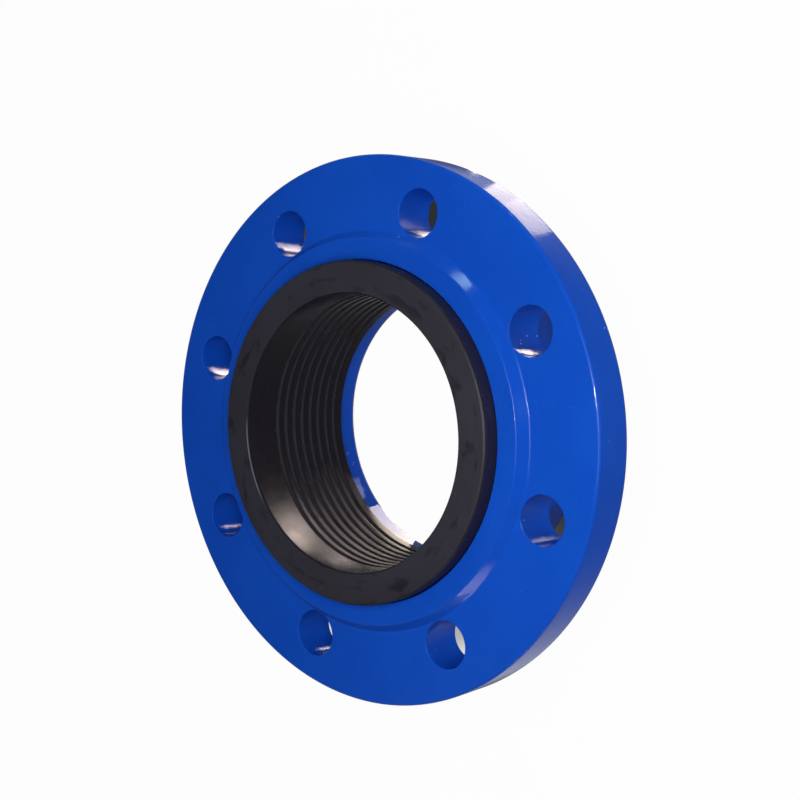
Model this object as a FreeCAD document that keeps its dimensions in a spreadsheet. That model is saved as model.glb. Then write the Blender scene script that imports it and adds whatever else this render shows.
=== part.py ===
import FreeCAD, Part
import math
import os
import Sketcher

os.makedirs("parts", exist_ok=True)
doc = FreeCAD.newDocument("flanged_expansion_joint")

# Driving sizes in millimetres. The joint stands on the rear end of its hub at Z = 0,
# with the pipe axis along +Z and the sealing face on top.
SIZES = {
    "gasket_bore": 110.5,
    "gasket_end_wall": 7.75,
    "gasket_clearance": 0.3,
    "ring_width": 13.05,
    "ring_stand_out": 6.6,
    "ring_edge_bevel": 1.5,
    "entry_bevel_depth": 0.8,
    "entry_bevel_width": 0.8,
    "rib_count": 8,
    "rib_pitch": 5,
    "rib_crest": 1.6,
    "rib_depth": 2.6,
    "rib_start": 17.7,
    "rib_tail": 5.8,
    "lip_clearance": 2,
    "lip_length": 11.5,
    "lip_bevel": 0.8,
    "raised_face_width": 8.4,
    "raised_face_height": 4.4,
    "raised_face_slope": 3.3,
    "raised_face_bevel": 0.6,
    "bolt_count": 8,
    "bolt_hole": 19,
    "bolt_hole_gap": 0.2,
    "flange_thickness": 19,
    "flange_margin": 10.5,
    "flange_edge_bevel": 1.2,
    "hub_root_wall": 3.4,
    "hub_root_bevel": 4,
    "hub_end_wall": 3.7,
    "hub_end_bevel": 1.5,
    "cutter_margin": 1,
}

# Radii from the pipe axis, worked outwards from the bore. The outside of the gasket follows
# its bore, the cavity follows the gasket, and the flange follows the cavity.
RADII = {
    "gasket_wall": "=gasket_bore / 2",
    "gasket_end": "=gasket_wall + gasket_end_wall",
    "ring_rim": "=gasket_wall + ring_width",
    "entry_rim": "=gasket_wall + entry_bevel_width",
    "groove_inside": "=gasket_wall - cutter_margin",
    "groove_floor": "=gasket_wall + rib_depth",
    "lip_wall": "=gasket_wall + lip_clearance",
    "cavity_end": "=gasket_end + gasket_clearance",
    "cavity_mouth": "=ring_rim + gasket_clearance",
    "hub_end": "=cavity_end + hub_end_wall",
    "hub_root": "=cavity_mouth + hub_root_wall",
    "hub_root_foot": "=hub_root + hub_root_bevel",
    "face_rim": "=cavity_mouth + raised_face_width",
    "face_foot": "=face_rim + raised_face_slope",
    "hole_radius": "=bolt_hole / 2",
    "bolt_circle_radius": "=face_foot + bolt_hole_gap + hole_radius",
    "flange_rim": "=bolt_circle_radius + hole_radius + flange_margin",
}

# Heights above the rear end, worked up from the lip that the gasket rests on.
HEIGHTS = {
    "rear_end": "=0",
    "gasket_seat": "=lip_length",
    "last_groove": "=gasket_seat + rib_tail",
    "first_groove": "=last_groove + (rib_count - 1) * rib_pitch",
    "groove_low": "=first_groove - (rib_pitch - rib_crest) / 2",
    "groove_high": "=first_groove + (rib_pitch - rib_crest) / 2",
    "ring_front": "=first_groove + rib_start",
    "entry_foot": "=ring_front - entry_bevel_depth",
    "face_top": "=ring_front - ring_stand_out",
    "flange_front": "=face_top - raised_face_height",
    "flange_back": "=flange_front - flange_thickness",
    "hub_root_top": "=flange_back - hub_root_bevel",
}

# The first bolt hole is half a step from the X axis, so the holes straddle both axes.
HOLE_PLACE = {
    "hole_x": "=bolt_circle_radius * cos(180deg / bolt_count)",
    "hole_y": "=bolt_circle_radius * sin(180deg / bolt_count)",
}

sheet = doc.addObject("Spreadsheet::Sheet", "sizes")
for row, (alias, content) in enumerate({**SIZES, **RADII, **HEIGHTS, **HOLE_PLACE}.items(), start=1):
    sheet.set(f"A{row}", alias)
    sheet.set(f"B{row}", str(content))
    sheet.setAlias(f"B{row}", alias)
doc.recompute()


def value(alias):
    return float(getattr(sheet, alias))


def point(x_alias, y_alias):
    return FreeCAD.Vector(value(x_alias), value(y_alias), 0)


def new_body(label):
    body = doc.addObject("PartDesign::Body", label)
    body.Label = label
    body.Placement = FreeCAD.Placement()
    doc.recompute()
    return body


def origin_item(body, role):
    return next(item for item in body.Origin.OriginFeatures if item.Role == role)


def plane_sketch(body, name, plane):
    sketch = body.newObject("Sketcher::SketchObject", name)
    sketch.AttachmentSupport = [(origin_item(body, plane), "")]
    sketch.MapMode = "FlatFace"
    doc.recompute()
    return sketch


def bind(sketch, constraint, alias):
    """Add a dimension and tie it to a cell of the sheet."""
    index = sketch.addConstraint(constraint)
    sketch.setExpression(f"Constraints[{index}]", f"sizes.{alias}")


def pin_point(sketch, geometry, end, x_alias, y_alias):
    """Fix a point of the sketch at two named distances; a height of zero puts it on the x axis."""
    bind(sketch, Sketcher.Constraint("DistanceX", -1, 1, geometry, end, value(x_alias)), x_alias)
    if value(y_alias) == 0:
        sketch.addConstraint(Sketcher.Constraint("PointOnObject", geometry, end, -1))
    else:
        bind(sketch, Sketcher.Constraint("DistanceY", -1, 1, geometry, end, value(y_alias)), y_alias)


def section(body, name, corners):
    """Draw half a section through the pipe axis, each corner a named radius and a named height."""
    sketch = plane_sketch(body, name, "XZ_Plane")
    following = corners[1:] + corners[:1]
    for start, end in zip(corners, following):
        sketch.addGeometry(Part.LineSegment(point(*start), point(*end)), False)
    for line, corner in enumerate(corners):
        next_line = (line + 1) % len(corners)
        sketch.addConstraint(Sketcher.Constraint("Coincident", line, 2, next_line, 1))
        pin_point(sketch, line, 1, *corner)
    return sketch


def turned(body, kind, name, sketch):
    """Turn a section all the way round the pipe axis, to add material or to cut it."""
    feature = body.newObject(kind, name)
    feature.Profile = sketch
    feature.ReferenceAxis = (sketch, ["V_Axis"])
    feature.Angle = 360
    sketch.Visibility = False
    doc.recompute()
    return feature


def edges_at(feature, radius_alias, height_alias):
    """Name the circular edges round the pipe axis at a radius and a height."""
    names = []
    for index, edge in enumerate(feature.Shape.Edges, start=1):
        if not isinstance(edge.Curve, Part.Circle):
            continue
        off_radius = abs(edge.Curve.Radius - value(radius_alias))
        off_height = abs(edge.Curve.Center.z - value(height_alias))
        off_axis = math.hypot(edge.Curve.Center.x, edge.Curve.Center.y)
        if max(off_radius, off_height, off_axis) < 0.001:
            names.append(f"Edge{index}")
    return names


def bevelled(body, name, base, size_alias, places):
    """Bevel the circular edges at the given radii and heights."""
    feature = body.newObject("PartDesign::Chamfer", name)
    feature.Base = (base, [edge for place in places for edge in edges_at(base, *place)])
    feature.setExpression("Size", f"sizes.{size_alias}")
    doc.recompute()
    return feature


# Flange body: one casting, turned about the pipe axis, with its edges bevelled.
flange_body = new_body("flange_body")
casting_section = section(
    flange_body,
    "casting_section",
    [
        ("lip_wall", "rear_end"),
        ("hub_end", "rear_end"),
        ("hub_root", "hub_root_top"),
        ("hub_root_foot", "flange_back"),
        ("flange_rim", "flange_back"),
        ("flange_rim", "flange_front"),
        ("face_foot", "flange_front"),
        ("face_rim", "face_top"),
        ("cavity_mouth", "face_top"),
        ("cavity_end", "gasket_seat"),
        ("lip_wall", "gasket_seat"),
    ],
)
casting = turned(flange_body, "PartDesign::Revolution", "casting", casting_section)
rim_places = [("flange_rim", "flange_front"), ("flange_rim", "flange_back")]
rim_edges = bevelled(flange_body, "rim_edges", casting, "flange_edge_bevel", rim_places)
face_edge = bevelled(flange_body, "face_edge", rim_edges, "raised_face_bevel", [("face_rim", "face_top")])
hub_edge = bevelled(flange_body, "hub_edge", face_edge, "hub_end_bevel", [("hub_end", "rear_end")])
lip_edge = bevelled(flange_body, "lip_edge", hub_edge, "lip_bevel", [("lip_wall", "rear_end")])

# Bolt holes: one hole through the flange, repeated round the pipe axis.
hole_outline = plane_sketch(flange_body, "hole_outline", "XY_Plane")
hole_circle = Part.Circle(point("hole_x", "hole_y"), FreeCAD.Vector(0, 0, 1), value("hole_radius"))
circle = hole_outline.addGeometry(hole_circle, False)
pin_point(hole_outline, circle, 3, "hole_x", "hole_y")
bind(hole_outline, Sketcher.Constraint("Radius", circle, value("hole_radius")), "hole_radius")
bolt_hole = flange_body.newObject("PartDesign::Pocket", "bolt_hole")
bolt_hole.Profile = hole_outline
bolt_hole.Type = "ThroughAll"
bolt_hole.Reversed = True
hole_outline.Visibility = False
doc.recompute()
bolt_holes = flange_body.newObject("PartDesign::PolarPattern", "bolt_holes")
bolt_holes.Originals = [bolt_hole]
bolt_holes.Axis = (origin_item(flange_body, "Z_Axis"), [""])
bolt_holes.Angle = 360
bolt_holes.setExpression("Occurrences", "sizes.bolt_count")
flange_body.Tip = bolt_holes
doc.recompute()

# Rubber gasket: a sleeve with a tapered outside and a thick ring in front.
rubber_gasket = new_body("rubber_gasket")
sleeve_section = section(
    rubber_gasket,
    "sleeve_section",
    [
        ("gasket_wall", "gasket_seat"),
        ("gasket_end", "gasket_seat"),
        ("ring_rim", "face_top"),
        ("ring_rim", "ring_front"),
        ("entry_rim", "ring_front"),
        ("gasket_wall", "entry_foot"),
    ],
)
sleeve = turned(rubber_gasket, "PartDesign::Revolution", "sleeve", sleeve_section)
ring_edge = bevelled(rubber_gasket, "ring_edge", sleeve, "ring_edge_bevel", [("ring_rim", "ring_front")])

# Grip grooves: one tapered groove, repeated down the bore to leave narrow ribs between.
groove_section = section(
    rubber_gasket,
    "groove_section",
    [
        ("groove_inside", "groove_low"),
        ("gasket_wall", "groove_low"),
        ("groove_floor", "first_groove"),
        ("gasket_wall", "groove_high"),
        ("groove_inside", "groove_high"),
    ],
)
groove = turned(rubber_gasket, "PartDesign::Groove", "groove", groove_section)
grooves = rubber_gasket.newObject("PartDesign::LinearPattern", "grooves")
grooves.Originals = [groove]
grooves.Direction = (origin_item(rubber_gasket, "Z_Axis"), [""])
grooves.Reversed = True
grooves.Mode = "Spacing"
grooves.setExpression("Offset", "sizes.rib_pitch")
grooves.setExpression("Occurrences", "sizes.rib_count")
rubber_gasket.Tip = grooves
doc.recompute()

# Every feature has to have worked, and a pattern has to cut as much each time as its first cut.
faults = [item.Name for item in doc.Objects if "Invalid" in item.State or "Error" in item.State]
for uncut, first_cut, pattern, count in (
    (lip_edge, bolt_hole, bolt_holes, "bolt_count"),
    (ring_edge, groove, grooves, "rib_count"),
):
    one_cut = uncut.Shape.Volume - first_cut.Shape.Volume
    all_cuts = uncut.Shape.Volume - pattern.Shape.Volume
    if one_cut < 1 or abs(all_cuts / one_cut - value(count)) > 0.01:
        faults.append(pattern.Name)
for body in (flange_body, rubber_gasket):
    if body.Shape.isNull() or not body.Shape.isValid() or len(body.Shape.Solids) != 1:
        faults.append(body.Name)
if faults:
    raise RuntimeError("These objects failed: " + ", ".join(faults))

for body in (flange_body, rubber_gasket):
    body.Shape.exportStep(f"parts/{body.Label}.step")
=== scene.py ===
"""Looks of the flanged expansion joint: glossy blue casting, black rubber gasket, soft light."""

import math

import bmesh
import bpy
from mathutils import Matrix, Vector


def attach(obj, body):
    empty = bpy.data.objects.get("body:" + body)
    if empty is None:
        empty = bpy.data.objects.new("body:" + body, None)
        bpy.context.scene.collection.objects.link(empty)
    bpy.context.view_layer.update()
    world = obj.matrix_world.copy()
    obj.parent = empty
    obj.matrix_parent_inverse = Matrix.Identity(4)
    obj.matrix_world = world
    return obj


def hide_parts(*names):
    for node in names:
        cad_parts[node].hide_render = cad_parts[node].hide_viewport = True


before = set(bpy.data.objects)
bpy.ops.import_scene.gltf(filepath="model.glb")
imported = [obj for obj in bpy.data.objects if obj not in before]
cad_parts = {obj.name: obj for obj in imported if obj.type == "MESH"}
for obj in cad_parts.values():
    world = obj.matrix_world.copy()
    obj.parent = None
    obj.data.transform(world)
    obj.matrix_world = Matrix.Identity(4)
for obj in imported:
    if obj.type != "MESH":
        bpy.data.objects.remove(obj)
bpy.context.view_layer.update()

MM = 0.001

# Fineness of the meshes.
STEPS_PER_HOLE = 64
SIDE_STEPS = 24
ROUNDING_STEPS = 6
HOLE_EDGE_STEPS = 5
HOLE_WALL_STEPS = 6
FACE_SHARES = (0, 0.03, 0.1, 0.25, 0.5, 1)
GASKET_STEPS = 384
WELD_DISTANCE = 1e-7
NORMAL_WEIGHT = 60

# Sizes of the casting in millimetres, as in the CAD model.
HOLE_COUNT = 8
HOLE_RADIUS = 9.5
HOLE_CIRCLE = 90
HOLE_EDGE = 0.4
FLANGE_RIM = 109.96
FLANGE_FRONT = 59
FLANGE_BACK = 40
FACE_TOP = 63.4
FACE_RIM = 77
FACE_FOOT = 80.3
CAVITY_MOUTH = 68.6
CAVITY_END = 63.3
SEAT = 11.5
LIP_WALL = 57.25
HUB_END = 67
HUB_ROOT = 72.4

# Radii where the parts of the casting's mesh meet, and the width they leave round a bolt hole.
FACE_SLOPE_START = 75
FOOT_START = 79.3
FOOT_RADII = (79.6, 79.9, 80.1, 80.3, 80.5, 80.7, 80.9, 81.1, 81.4)
PLATE_START = 83
BACK_START = 78
RIM_START = 107
LEAST_SPARE = 0.1
SPARE_STEP = 0.12

# Sizes of the gasket in millimetres.
BORE = 55.25
RING_RIM = 68.3
RING_FRONT = 70
GASKET_END = 63
FIRST_GROOVE = 52.3
GROOVE_COUNT = 8
GROOVE_PITCH = 5
GROOVE_HALF_WIDTH = 1.0
GROOVE_FLOOR = 57.7


def rounded_corner(before, corner, after, radius, steps):
    """Points of an arc that rounds one corner of a profile of (radius, height) points."""
    back = Vector(before) - Vector(corner)
    ahead = Vector(after) - Vector(corner)
    half_angle = back.angle(ahead) / 2
    setback = radius / math.tan(half_angle)
    back.normalize()
    ahead.normalize()
    centre = Vector(corner) + (back + ahead).normalized() * radius / math.sin(half_angle)
    start = (Vector(corner) + back * setback - centre).normalized()
    end = (Vector(corner) + ahead * setback - centre).normalized()
    return [tuple(centre + start.slerp(end, step / steps) * radius) for step in range(steps + 1)]


def rounded_profile(corners, closed):
    """Round each corner given as (radius, height, rounding); ends of an open profile stay sharp."""
    points = []
    count = len(corners)
    for index, (radius, height, rounding) in enumerate(corners):
        is_end = not closed and index in (0, count - 1)
        if is_end or rounding == 0:
            points.append((radius, height))
            continue
        before = corners[index - 1][:2]
        after = corners[(index + 1) % count][:2]
        points.extend(rounded_corner(before, (radius, height), after, rounding, ROUNDING_STEPS))
    return points


def refined(points, longest):
    """Split the long straight runs of a profile, so that a turned surface has short quads."""
    result = [points[0]]
    for start, end in zip(points, points[1:]):
        pieces = max(1, math.ceil(math.dist(start, end) / longest))
        for piece in range(1, pieces + 1):
            share = piece / pieces
            result.append(tuple(a + (b - a) * share for a, b in zip(start, end)))
    return result


def polar(radius, angle, height):
    return Vector((radius * math.cos(angle), radius * math.sin(angle), height)) * MM


def add_ring(mesh, radius, height, count):
    return [mesh.verts.new(polar(radius, 2 * math.pi * k / count, height)) for k in range(count)]


def join_rings(mesh, first, second):
    """Fill the band between two closed rings of vertices with quads."""
    count = len(first)
    for k in range(count):
        following = (k + 1) % count
        mesh.faces.new((first[k], first[following], second[following], second[k]))


def add_turned(mesh, profile, count, closed):
    """Turn a profile round the pipe axis and return its first and last ring."""
    rings = [add_ring(mesh, radius, height, count) for radius, height in profile]
    for first, second in zip(rings, rings[1:]):
        join_rings(mesh, first, second)
    if closed:
        join_rings(mesh, rings[-1], rings[0])
    return rings[0], rings[-1]


def finished_object(mesh, name, node, material):
    """Turn a bmesh into a smooth object that stands for a CAD node."""
    bmesh.ops.remove_doubles(mesh, verts=mesh.verts, dist=WELD_DISTANCE)
    bmesh.ops.recalc_face_normals(mesh, faces=mesh.faces)
    data = bpy.data.meshes.new(name)
    mesh.to_mesh(data)
    mesh.free()
    data.polygons.foreach_set("use_smooth", [True] * len(data.polygons))
    data.materials.append(material)
    piece = bpy.data.objects.new(name, data)
    bpy.context.scene.collection.objects.link(piece)
    shading = piece.modifiers.new("flat_faces_stay_flat", "WEIGHTED_NORMAL")
    shading.weight = NORMAL_WEIGHT
    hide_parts(node)
    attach(piece, "root")


# Casting


def front_height(radius, slope):
    """Height of the casting's front at a radius, along the rounded slope of the raised face."""
    for (r1, z1), (r2, z2) in zip(slope, slope[1:]):
        low, high = min(r1, r2), max(r1, r2)
        if low <= radius <= high and high > low:
            return z1 + (z2 - z1) * (radius - r1) / (r2 - r1)
    return FLANGE_FRONT


def clear_of_hole(radius, turn, spare):
    """Pull a radius in, where a hole is in the way, to its near side less some spare width."""
    reach = HOLE_RADIUS + HOLE_EDGE + spare
    across = HOLE_CIRCLE * math.sin(turn)
    if abs(across) >= reach:
        return radius
    near_side = HOLE_CIRCLE * math.cos(turn) - math.sqrt(reach**2 - across**2)
    return min(radius, near_side)


def turn_from_hole(step):
    """Angle between a step round the flange and the nearest bolt hole."""
    pitch = 2 * math.pi / HOLE_COUNT
    return (step % STEPS_PER_HOLE) / STEPS_PER_HOLE * pitch - pitch / 2


def foot_rings(mesh, radii, slope, count):
    """Rings round the foot of the raised face, which dodge the bolt holes and stay on the surface.

    The outermost ring is returned.
    """
    rings = []
    for index, radius in enumerate(radii):
        spare = LEAST_SPARE + SPARE_STEP * (len(radii) - 1 - index)
        ring = []
        for step in range(count):
            held = clear_of_hole(radius, turn_from_hole(step), spare)
            spot = polar(held, 2 * math.pi * step / count, front_height(held, slope))
            ring.append(mesh.verts.new(spot))
        rings.append(ring)
    for first, second in zip(rings, rings[1:]):
        join_rings(mesh, first, second)
    return rings[-1]


def sector_outline(inner, outer, hole):
    """Points round one bolt hole's share of a flange face, from the rim side and anticlockwise."""
    count = len(outer)
    first = hole * STEPS_PER_HOLE
    inner_arc = [inner[(first + k) % count].co for k in range(STEPS_PER_HOLE + 1)]
    outer_arc = [outer[(first + k) % count].co for k in range(STEPS_PER_HOLE + 1)]
    middle = STEPS_PER_HOLE // 2

    def side(start, end):
        return [start.lerp(end, k / SIDE_STEPS) for k in range(SIDE_STEPS)]

    return (
        outer_arc[middle:-1]
        + side(outer_arc[-1], inner_arc[-1])
        + inner_arc[:0:-1]
        + side(inner_arc[0], outer_arc[0])
        + outer_arc[:middle]
    )


def drilled_face(mesh, centre, inner, outer, hole, turns, height_at):
    """Fill one hole's share of a flange face and return the loop at the hole's mouth."""
    outline = sector_outline(inner, outer, hole)
    if not turns:
        turns.extend(math.atan2(spot.y - centre.y, spot.x - centre.x) for spot in outline)
    mouth = []
    for turn in turns:
        spot = centre + Vector((math.cos(turn), math.sin(turn), 0)) * (HOLE_RADIUS + HOLE_EDGE) * MM
        spot.z = height_at(spot)
        mouth.append(spot)
    loops = []
    for share in FACE_SHARES:
        loop = []
        for near, far in zip(mouth, outline):
            spot = near.lerp(far, share)
            if 0 < share < 1:
                spot.z = height_at(spot)
            loop.append(mesh.verts.new(spot))
        loops.append(loop)
    for first, second in zip(loops, loops[1:]):
        join_rings(mesh, first, second)
    return loops[0]


def hole_wall(mesh, centre, front_mouth, back_mouth):
    """Round the edges of a bolt hole and join its two mouths with a straight wall."""
    sides = []
    for mouth, way in ((front_mouth, -1), (back_mouth, 1)):
        loops = [mouth]
        for step in range(1, HOLE_EDGE_STEPS + 1):
            turn = math.pi / 2 * step / HOLE_EDGE_STEPS
            loop = []
            for vertex in mouth:
                out = Vector((vertex.co.x - centre.x, vertex.co.y - centre.y, 0)).normalized()
                spot = centre + out * (HOLE_RADIUS + HOLE_EDGE * (1 - math.sin(turn))) * MM
                spot.z = vertex.co.z + way * HOLE_EDGE * (1 - math.cos(turn)) * MM
                loop.append(mesh.verts.new(spot))
            loops.append(loop)
        for first, second in zip(loops, loops[1:]):
            join_rings(mesh, first, second)
        sides.append(loops[-1])
    levels = [sides[0]]
    for step in range(1, HOLE_WALL_STEPS):
        share = step / HOLE_WALL_STEPS
        levels.append([mesh.verts.new(a.co.lerp(b.co, share)) for a, b in zip(*sides)])
    levels.append(sides[1])
    for first, second in zip(levels, levels[1:]):
        join_rings(mesh, first, second)


def build_casting(material):
    """Turn the inside, hub and rim of the casting, and drill its flange."""
    mesh = bmesh.new()
    count = HOLE_COUNT * STEPS_PER_HOLE
    inside = rounded_profile(
        [
            (PLATE_START, FLANGE_FRONT, 0),
            (FACE_FOOT, FLANGE_FRONT, 1.3),
            (FACE_RIM, FACE_TOP, 0.9),
            (CAVITY_MOUTH, FACE_TOP, 0.5),
            (CAVITY_END, SEAT, 0.5),
            (LIP_WALL, SEAT, 0.4),
            (LIP_WALL, 0, 1.9),
            (HUB_END, 0, 1.6),
            (HUB_ROOT, FLANGE_BACK, 4),
            (BACK_START, FLANGE_BACK, 0),
        ],
        closed=False,
    )
    slope = [spot for spot in inside if spot[0] >= FACE_SLOPE_START and spot[1] >= FLANGE_FRONT]
    turning_in = [spot for spot in inside if spot[0] < FOOT_START or spot[1] < FLANGE_FRONT - 1]
    add_turned(mesh, refined(turning_in, longest=6), count, closed=False)
    front_inner = foot_rings(mesh, [turning_in[0][0], *FOOT_RADII], slope, count)
    rim = rounded_profile(
        [
            (RIM_START, FLANGE_FRONT, 0),
            (FLANGE_RIM, FLANGE_FRONT, 1.3),
            (FLANGE_RIM, FLANGE_BACK, 1.3),
            (RIM_START, FLANGE_BACK, 0),
        ],
        closed=False,
    )
    front_outer, back_outer = add_turned(mesh, refined(rim, longest=4), count, closed=False)
    back_inner = add_ring(mesh, BACK_START, FLANGE_BACK, count)

    def on_front(spot):
        return front_height(math.hypot(spot.x, spot.y) / MM, slope) * MM

    def on_back(spot):
        return FLANGE_BACK * MM

    for hole in range(HOLE_COUNT):
        centre = polar(HOLE_CIRCLE, 2 * math.pi * (hole + 0.5) / HOLE_COUNT, 0)
        turns = []
        front_mouth = drilled_face(mesh, centre, front_inner, front_outer, hole, turns, on_front)
        back_mouth = drilled_face(mesh, centre, back_inner, back_outer, hole, turns, on_back)
        hole_wall(mesh, centre, front_mouth, back_mouth)
    finished_object(mesh, "painted_casting", "flange_body", material)


# Gasket


def build_gasket(material):
    """Turn the sleeve with its sealing ring and grooves."""
    corners = [
        (GASKET_END, SEAT, 0.5),
        (RING_RIM, FACE_TOP, 0),
        (RING_RIM, RING_FRONT, 1.7),
        (BORE, RING_FRONT, 1.1),
    ]
    for groove in range(GROOVE_COUNT):
        height = FIRST_GROOVE - groove * GROOVE_PITCH
        corners += [
            (BORE, height + GROOVE_HALF_WIDTH, 0.9),
            (GROOVE_FLOOR, height, 0.25),
            (BORE, height - GROOVE_HALF_WIDTH, 0.9),
        ]
    corners.append((BORE, SEAT, 0.4))
    mesh = bmesh.new()
    profile = rounded_profile(corners, closed=True)
    add_turned(mesh, refined(profile, longest=5), GASKET_STEPS, closed=True)
    finished_object(mesh, "rubber_sleeve", "rubber_gasket", material)


# Materials


class Nodes:
    """Short calls that build one node tree."""

    def __init__(self, tree):
        self.tree = tree
        self.tree.nodes.clear()

    def add(self, kind, inputs=None, **settings):
        node = self.tree.nodes.new(kind)
        for key, value in settings.items():
            setattr(node, key, value)
        for key, value in (inputs or {}).items():
            self.feed(node.inputs[key], value)
        return node

    def feed(self, socket, value):
        if isinstance(value, bpy.types.NodeSocket):
            self.tree.links.new(value, socket)
        else:
            socket.default_value = value

    def math(self, operation, *values):
        return self.add("ShaderNodeMath", dict(enumerate(values)), operation=operation).outputs[0]

    def chain(self, operation, first, others):
        for other in others:
            first = self.math(operation, first, other)
        return first

    def times(self, first, *others):
        return self.chain("MULTIPLY", first, others)

    def plus(self, first, *others):
        return self.chain("ADD", first, others)

    def largest(self, first, *others):
        return self.chain("MAXIMUM", first, others)

    def ramp(self, value, low, high, out_low=0.0, out_high=1.0):
        """Smooth change from out_low to out_high while the value goes from low to high."""
        names = ("Value", "From Min", "From Max", "To Min", "To Max")
        inputs = dict(zip(names, (value, low, high, out_low, out_high)))
        return self.add("ShaderNodeMapRange", inputs, interpolation_type="SMOOTHSTEP").outputs[0]

    def fade(self, value, low, high):
        """Smooth change from 1 to 0 while the value goes from low to high."""
        return self.ramp(value, low, high, 1.0, 0.0)

    def noise(self, place, scale, detail=3.0, roughness=0.5, distortion=0.0):
        inputs = {
            "Vector": place,
            "Scale": scale,
            "Detail": detail,
            "Roughness": roughness,
            "Distortion": distortion,
        }
        return self.add("ShaderNodeTexNoise", inputs).outputs[0]

    def mix(self, share, first, second):
        """Mix of two colours, through those sockets of the node that carry colours."""
        node = self.add("ShaderNodeMix", data_type="RGBA")
        self.feed(node.inputs[0], share)
        self.feed(node.inputs[6], first)
        self.feed(node.inputs[7], second)
        return node.outputs[2]

    def place(self):
        return self.add("ShaderNodeTexCoord").outputs["Object"]

    def axes(self, vector):
        return self.add("ShaderNodeSeparateXYZ", {0: vector}).outputs

    def facing(self):
        """Upward share of the surface's normal: 1 on the front, 0 on a wall, -1 underneath."""
        return self.axes(self.add("ShaderNodeNewGeometry").outputs["Normal"])[2]

    def distance(self, axes, x=0.0, y=0.0):
        """Distance in plan from an upright line at (x, y)."""
        along_x = self.math("POWER", self.math("SUBTRACT", axes[0], x), 2.0)
        along_y = self.math("POWER", self.math("SUBTRACT", axes[1], y), 2.0)
        return self.math("SQRT", self.plus(along_x, along_y))

    def swirl(self, axes, radius, round_scale, fine_scale):
        """Coordinates along the turn, the radius and the height, for marks that follow the ring."""
        parts = {
            0: self.times(self.math("ARCTAN2", axes[1], axes[0]), round_scale),
            1: self.times(radius, fine_scale),
            2: self.times(axes[2], fine_scale),
        }
        return self.add("ShaderNodeCombineXYZ", parts).outputs[0]

    def bump(self, height, strength, distance, under=None):
        inputs = {"Height": height, "Strength": strength, "Distance": distance}
        if under is not None:
            inputs["Normal"] = under
        return self.add("ShaderNodeBump", inputs).outputs[0]

    def glossy_surface(self, colour, roughness, ior, normal):
        inputs = {"Base Color": colour, "Roughness": roughness, "IOR": ior, "Normal": normal}
        self.surface(self.add("ShaderNodeBsdfPrincipled", inputs).outputs[0])

    def surface(self, shader):
        self.add("ShaderNodeOutputMaterial", {"Surface": shader})


def new_material(name):
    material = bpy.data.materials.new(name)
    material.use_nodes = True
    return material, Nodes(material.node_tree)


# Coating: its index of refraction, kept low for a soft gloss, its colours and those of its wear,
# then a painted reflection and a painted shade for two edges.
PAINT_IOR = 1.16
DEEP_BLUE = (0.0045, 0.066, 0.465, 1)
FRESH_BLUE = (0.0055, 0.074, 0.500, 1)
DUSTY_BLUE = (0.10, 0.16, 0.40, 1)
CHIP_GREY = (0.42, 0.44, 0.50, 1)
# Painted reflection for the hub's rear inner edge, then painted shade for the rim's rear edge.
EDGE_REFLECTION = (0.24, 0.21, 0.28, 1)
EDGE_SHADE = (0.10, 0.09, 0.13, 1)


def blue_paint():
    """Thick glossy blue coating on cast iron: smooth on the plate, uneven on the walls."""
    material, n = new_material("blue_paint")
    place = n.place()
    axes = n.axes(place)
    radius, height = n.distance(axes), axes[2]
    flat_face = n.ramp(n.math("ABSOLUTE", n.facing()), 0.5, 0.9)
    on_wall = n.math("SUBTRACT", 1.0, flat_face)
    in_hole = n.times(n.ramp(radius, 0.0803, 0.0806), n.fade(radius, 0.1000, 0.1005), on_wall)
    clouds = n.noise(place, 28.0, 4.0, 0.55)
    colour = n.mix(n.ramp(clouds, 0.3, 0.7), DEEP_BLUE, FRESH_BLUE)
    # Brush and dust marks, and small chips where the coating is thin.
    dust = n.noise(place, 900.0, 2.0, 0.6)
    colour = n.mix(n.ramp(dust, 0.66, 0.74, 0.0, 0.25), colour, DUSTY_BLUE)
    cells = n.add("ShaderNodeTexVoronoi", {"Vector": place, "Scale": 420.0, "Randomness": 1.0})
    patches = n.noise(place, 75.0, 2.0, 0.5)
    sparse = n.ramp(n.plus(patches, n.times(in_hole, 0.02)), 0.66, 0.72)
    chip = n.times(n.fade(cells.outputs[0], 0.10, 0.16), sparse, n.times(on_wall, 0.75))
    colour = n.mix(chip, colour, CHIP_GREY)
    # A pale line is painted on the inner edge at the rear of the hub: a painted reflection of the
    # floor in that rounded edge.
    hub_edge_reflection = n.times(n.fade(height, 0.0014, 0.0022), n.fade(radius, 0.0605, 0.0615))
    colour = n.mix(n.times(hub_edge_reflection, 0.85), colour, EDGE_REFLECTION)
    # Dark line painted along the rear edge of the rim: painted shade that stands in for the edge's
    # dark reflection, where the coating is also made rougher.
    rim_edge_shade_and_dull = n.times(n.fade(height, 0.0409, 0.0415), n.ramp(radius, 0.1086, 0.1091))
    colour = n.mix(n.times(rim_edge_shade_and_dull, 0.85), colour, EDGE_SHADE)
    rough = n.ramp(n.noise(place, 60.0, 5.0, 0.65), 0.25, 0.75, 0.09, 0.18)
    rough = n.plus(rough, n.times(rim_edge_shade_and_dull, 0.55), n.times(chip, 0.4))
    # Lumps of the casting show through on the walls, and fine orange peel everywhere.
    uneven = n.times(on_wall, n.ramp(radius, 0.058, 0.064, 0.03, 0.08))
    uneven = n.plus(uneven, n.times(in_hole, 0.20))
    normal = n.bump(n.noise(place, 140.0, 5.0, 0.6), uneven, 0.0010)
    normal = n.bump(n.noise(place, 420.0, 2.0, 0.4), 0.10, 0.0003, normal)
    n.glossy_surface(colour, rough, PAINT_IOR, normal)
    return material
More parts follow.
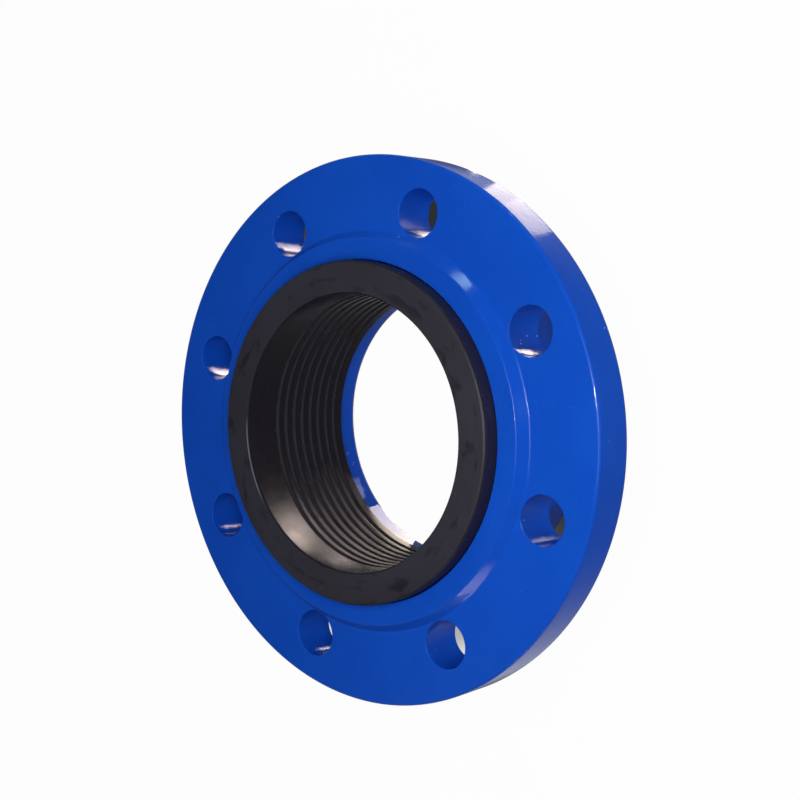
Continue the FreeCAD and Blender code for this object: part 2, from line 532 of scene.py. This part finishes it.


# Rubber: its index of refraction, the colours of the bore, then those of the ring and its marks,
# with a painted reflection for the outer side and a painted highlight for the edge of the bore.
RUBBER_IOR = 1.11
BORE_BLACK = (0.011, 0.010, 0.014, 1)
BORE_GREY = (0.017, 0.015, 0.020, 1)
SMUDGE = (0.017, 0.016, 0.022, 1)
RING_GREY = (0.032, 0.031, 0.041, 1)
RING_PALE = (0.046, 0.045, 0.062, 1)
BLOOM_GREY = (0.085, 0.080, 0.088, 1)
REFLECTED_NAVY = (0.020, 0.019, 0.050, 1)
HIGHLIGHT_GREY = (0.15, 0.15, 0.18, 1)

# Direction in plan of the side where a highlight is painted on the edge of the bore.
HIGHLIGHT_SIDE = (-0.985, -0.174)


def black_rubber():
    """Moulded rubber: a dull ring face with smudges from handling, and a smoother, shinier bore."""
    material, n = new_material("black_rubber")
    place = n.place()
    axes = n.axes(place)
    radius, height = n.distance(axes), axes[2]
    swirl = n.swirl(axes, radius, 9.0, 330.0)
    facing = n.facing()
    ring_face = n.ramp(facing, 0.6, 0.95)
    fine = n.noise(place, 1500.0, 3.0, 0.6)
    base = n.mix(n.ramp(fine, 0.3, 0.7), BORE_BLACK, BORE_GREY)
    smudge = n.ramp(n.noise(swirl, 0.60, 3.0, 0.45, 0.2), 0.30, 0.44)
    worn = n.mix(smudge, SMUDGE, RING_GREY)
    slow = n.ramp(n.noise(swirl, 0.16, 2.0, 0.5), 0.3, 0.7)
    worn = n.mix(n.times(slow, 0.35), worn, RING_PALE)
    colour = n.mix(n.times(ring_face, 0.8), base, worn)
    bloom = n.ramp(n.noise(swirl, 1.7, 4.0, 0.6), 0.60, 0.74, 0.0, 0.12)
    colour = n.mix(n.times(bloom, ring_face), colour, BLOOM_GREY)
    # Painted reflection of the blue casting as a navy tinge on the outer side, and a painted
    # highlight line in places along the edge of the bore.
    navy_reflection = n.times(n.ramp(radius, 0.0665, 0.0675), n.fade(facing, 0.2, 0.7))
    colour = n.mix(n.times(navy_reflection, 0.8), colour, REFLECTED_NAVY)
    # Painted highlight: a pale grey line on the rounded edge of the bore, on one side only.
    edge = n.times(n.ramp(radius, 0.05560, 0.05580), n.fade(radius, 0.05605, 0.05625))
    to_side = n.plus(n.times(axes[0], HIGHLIGHT_SIDE[0]), n.times(axes[1], HIGHLIGHT_SIDE[1]))
    on_highlight_side = n.ramp(n.math("DIVIDE", to_side, radius), 0.94, 0.985)
    edge = n.times(edge, n.ramp(height, 0.0684, 0.0688), on_highlight_side)
    colour = n.mix(n.times(edge, 0.8), colour, HIGHLIGHT_GREY)
    rough = n.ramp(n.noise(place, 240.0, 4.0, 0.6), 0.3, 0.7, 0.20, 0.28)
    rough = n.plus(rough, n.times(ring_face, n.ramp(smudge, 0.0, 1.0, 0.10, 0.26)))
    normal = n.bump(n.noise(place, 190.0, 3.0, 0.5), 0.05, 0.0010)
    normal = n.bump(n.noise(place, 2600.0, 2.0, 0.5), 0.10, 0.0002, normal)
    n.glossy_surface(colour, rough, RUBBER_IOR, normal)
    return material


# Floor: its half width in metres, the middle of its shadow, and how much light each part takes.
FLOOR_REACH = 3.0
FLOOR_CELLS = 24
FLOOR_TONES = ((0.73, 0.73, 0.73, 1), (0.77, 0.77, 0.77, 1))
SHADOW_CENTRE = (-0.050, 0.002)
SEEN_SHADOW = 0.975
REFLECTED_SHADOW = 0.88
GLOW_SHARE = 0.97
WHITE = (1, 1, 1, 1)


def pale_floor():
    """Pale floor that shows as white to the camera and in reflections, and keeps a soft shadow."""
    material, n = new_material("pale_floor")
    rays = n.add("ShaderNodeLightPath").outputs
    place = n.place()
    tone = n.mix(n.ramp(n.noise(place, 35.0), 0.3, 0.7), *FLOOR_TONES)
    diffuse = n.add("ShaderNodeBsdfDiffuse", {"Color": tone}).outputs[0]
    axes = n.axes(place)
    radius = n.distance(axes)
    aside = n.distance(axes, *SHADOW_CENTRE)
    clear_of_hub = n.ramp(radius, 0.058, 0.064)
    # Shadow under the casting, seen through the holes and, from low down, beside the hub.
    beneath = n.largest(n.fade(aside, 0.104, 0.121), n.fade(radius, 0.072, 0.086))
    deeper_ahead = n.ramp(n.plus(axes[0], axes[1]), -0.20, 0.03, 0.25, 1.0)
    behind = n.times(beneath, clear_of_hub, deeper_ahead)
    # Floor seen in glossy walls: dim under the casting, in the hub and on the near side.
    under = n.largest(n.fade(aside, 0.134, 0.152), n.fade(radius, 0.105, 0.122))
    inside = n.ramp(radius, 0.055, 0.058, 0.6, 0.0)
    near_side = n.ramp(axes[0], 0.060, 0.125, 0.0, 0.9)
    dim = n.largest(n.times(under, clear_of_hub), inside, near_side)
    direct = n.largest(rays["Is Camera Ray"], rays["Is Transmission Ray"])
    glossy = rays["Is Glossy Ray"]
    seen_loss = n.times(direct, n.times(behind, SEEN_SHADOW))
    reflected_loss = n.times(glossy, n.times(dim, REFLECTED_SHADOW))
    strength = n.math("SUBTRACT", 1.0, n.plus(seen_loss, reflected_loss))
    glow = n.add("ShaderNodeEmission", {"Color": WHITE, "Strength": strength}).outputs[0]
    share = n.times(n.largest(direct, glossy), GLOW_SHARE)
    n.surface(n.add("ShaderNodeMixShader", {0: share, 1: diffuse, 2: glow}).outputs[0])
    return material


# Room


def build_floor():
    mesh = bmesh.new()
    cells = {"x_segments": FLOOR_CELLS, "y_segments": FLOOR_CELLS}
    bmesh.ops.create_grid(mesh, size=FLOOR_REACH, **cells)
    data = bpy.data.meshes.new("floor")
    mesh.to_mesh(data)
    mesh.free()
    data.materials.append(pale_floor())
    floor = bpy.data.objects.new("floor", data)
    bpy.context.scene.collection.objects.link(floor)


HORIZON = (0.21, 0.22, 0.24, 1)
CEILING = (0.12, 0.12, 0.14, 1)
CEILING_START = 0.55


def soft_world():
    """Pale light near the horizon that fades to a dim ceiling, so that glossy faces stay deep."""
    world = bpy.data.worlds.new("studio")
    bpy.context.scene.world = world
    world.use_nodes = True
    n = Nodes(world.node_tree)
    upward = n.axes(n.add("ShaderNodeTexCoord").outputs["Generated"])[2]
    shades = n.add("ShaderNodeValToRGB", {0: upward})
    horizon, ceiling = shades.color_ramp.elements
    horizon.position, horizon.color = 0.0, HORIZON
    ceiling.position, ceiling.color = CEILING_START, CEILING
    sky = n.add("ShaderNodeBackground", {"Color": shades.outputs[0], "Strength": 1.0}).outputs[0]
    white = n.add("ShaderNodeBackground", {"Color": WHITE, "Strength": 1.0}).outputs[0]
    seen = n.add("ShaderNodeLightPath").outputs["Is Camera Ray"]
    shader = n.add("ShaderNodeMixShader", {0: seen, 1: sky, 2: white}).outputs[0]
    n.add("ShaderNodeOutputWorld", {"Surface": shader})


def lamp(name, place, target, size, power, colour, spread=180):
    """Rectangular soft light, in metres and watts, that the camera doesn't see."""
    light = bpy.data.lights.new(name, "AREA")
    light.shape = "RECTANGLE"
    light.size, light.size_y = size
    light.energy = power
    light.color = colour
    light.spread = math.radians(spread)
    source = bpy.data.objects.new(name, light)
    source.location = place
    source.rotation_mode = "QUATERNION"
    source.rotation_quaternion = (Vector(target) - Vector(place)).to_track_quat("-Z", "Y")
    source.visible_camera = False
    bpy.context.scene.collection.objects.link(source)
    return source


def gloss_lamp(*settings):
    """Lamp that shows in glossy surfaces only."""
    source = lamp(*settings)
    source.visible_diffuse = False
    return source


def card(name, spot, target, size, brightness, spread, colour):
    """Small bright card just over the floor, in millimetres, that shows in glossy surfaces only.

    It faces a target and lights only within a cone of so many degrees.
    """
    length, width = size[0] * MM, size[1] * MM
    power = brightness * math.pi * length * width
    place, aim = Vector(spot) * MM, Vector(target) * MM
    return gloss_lamp(name, place, aim, (length, width), power, colour, spread)


def flat_card(name, spot, heading, size, brightness, spread, colour):
    """Card that lies face up, with its length turned to a heading in degrees."""
    above = Vector(spot) + Vector((0, 0, 1))
    source = card(name, spot, above, size, brightness, spread, colour)
    source.rotation_mode = "XYZ"
    source.rotation_euler = (math.pi, 0, math.radians(heading))


# Colours of the lamps and cards, and the front edge that two lamps face.
WARM = (1.0, 0.85, 0.66)
TEAL = (0.62, 1.0, 0.97)
LILAC = (0.86, 0.84, 1.0)
EDGE = (0.08, 0.01, 0.06)

# Soft lamps: name, place, target, size, power, colour.
LAMPS = [
    ("key", (0.27, 0.01, 0.42), (0.05, 0.0, 0.05), (0.30, 0.24), 1.90, (1.0, 0.99, 0.97)),
    ("fill", (-0.55, -0.75, 0.75), (0.0, 0.0, 0.05), (0.8, 0.8), 0.9, (0.95, 0.97, 1.0)),
    ("upper_strip", (0.20, 0.52, 0.13), (0.05, 0.05, 0.06), (0.07, 0.05), 0.56, TEAL),
]

# Lamps for gloss alone: the lower side, dots on the front edges, and the slope between them.
GLOSS_LAMPS = [
    ("lower_strip", (0.137, -0.55, 0.09), (0.05, -0.06, 0.06), (0.22, 0.05), 0.60, LILAC),
    ("spark", (0.30, 0.042, 0.50), EDGE, (0.015, 0.015), 0.13, (1, 1, 1), 20),
    ("sheen", (0.55, 0.06, 0.22), EDGE, (0.10, 0.08), 0.07, (0.60, 0.97, 0.95)),
]

# Light patches on the rim: name, spot, heading, size, brightness, spread, colour.
FLAT_CARDS = [
    ("rim_card_1", (52.2, 121, 1), -20, (16.6, 23), 3.5, 110, WARM),
    ("rim_card_2", (73.8, 113.1, 1), -20, (29.4, 23), 4.7, 110, WARM),
]

# Light patches in the bore, on the lip and in the holes: the same, with a target for the heading.
CARDS = [
    ("bore_card", (-34, 17, 6), (-42, -38, 62), (22, 14), 14.0, 85, (1.0, 0.82, 0.73)),
    ("bore_tail", (-55, -15, 3), (-15, -54, 62), (14, 10), 1.6, 85, (1.0, 0.80, 0.72)),
    ("rib_card", (-38, -18, 8), (-36, -54, 38), (20, 22), 1.9, 100, (1.0, 0.82, 0.78)),
    ("lip_card", (-34, -42.5, 3), (-39, -49.5, 11), (25, 12), 16.5, 125, WARM),
    ("lip_card_2", (-46, -23, 1), (-56, -29, 10), (8, 7), 3.5, 120, WARM),
    ("hole_card_1", (-24, 116, 1), (-36, 76, 48), (40, 24), 5.0, 60, WARM),
    ("hole_card_2", (21, 106, 1), (36, 74, 50), (22, 14), 2.2, 60, WARM),
    ("hole_card_3", (70, 63, 1), (83, 34, 50), (26, 22), 6.0, 90, WARM),
    ("hole_card_4", (-80, 78, 1), (-85, 26, 50), (60, 24), 18.0, 80, WARM),
    ("hole_card_5", (-72, 10, 1), (-83, -34, 50), (18, 14), 7.0, 60, WARM),
    ("hole_card_6", (-57, -48, 1), (-34, -83, 50), (16, 12), 2.5, 60, WARM),
    ("hole_card_8", (71, -9, 1), (83, -34, 50), (18, 16), 1.0, 70, WARM),
]


def light_room():
    soft_world()
    tables = ((lamp, LAMPS), (gloss_lamp, GLOSS_LAMPS), (flat_card, FLAT_CARDS), (card, CARDS))
    for make, rows in tables:
        for row in rows:
            make(*row)


# Camera: its place in metres, the two directions that set its turn, and its lens in millimetres.
CAMERA_PLACE = (0.37110, 0.02047, 0.47874)
CAMERA_RIGHT = Vector((0.76590, -0.06407, -0.63977))
CAMERA_UP = Vector((0.03918, 0.99783, -0.05301))
FOCAL_LENGTH = 63.0
SENSOR_WIDTH = 36
SIGHT_RANGE = (0.01, 20)


def place_camera():
    data = bpy.data.cameras.new("camera")
    data.sensor_width = SENSOR_WIDTH
    data.lens = FOCAL_LENGTH
    data.clip_start, data.clip_end = SIGHT_RANGE
    camera = bpy.data.objects.new("camera", data)
    back = CAMERA_RIGHT.cross(CAMERA_UP)
    turn = Matrix((CAMERA_RIGHT, CAMERA_UP, back)).transposed()
    camera.matrix_world = Matrix.Translation(CAMERA_PLACE) @ turn.to_4x4()
    bpy.context.scene.collection.objects.link(camera)
    bpy.context.scene.camera = camera


place_camera()
build_floor()
light_room()
build_casting(blue_paint())
build_gasket(black_rubber())

bpy.context.scene.view_settings.view_transform = "Standard"
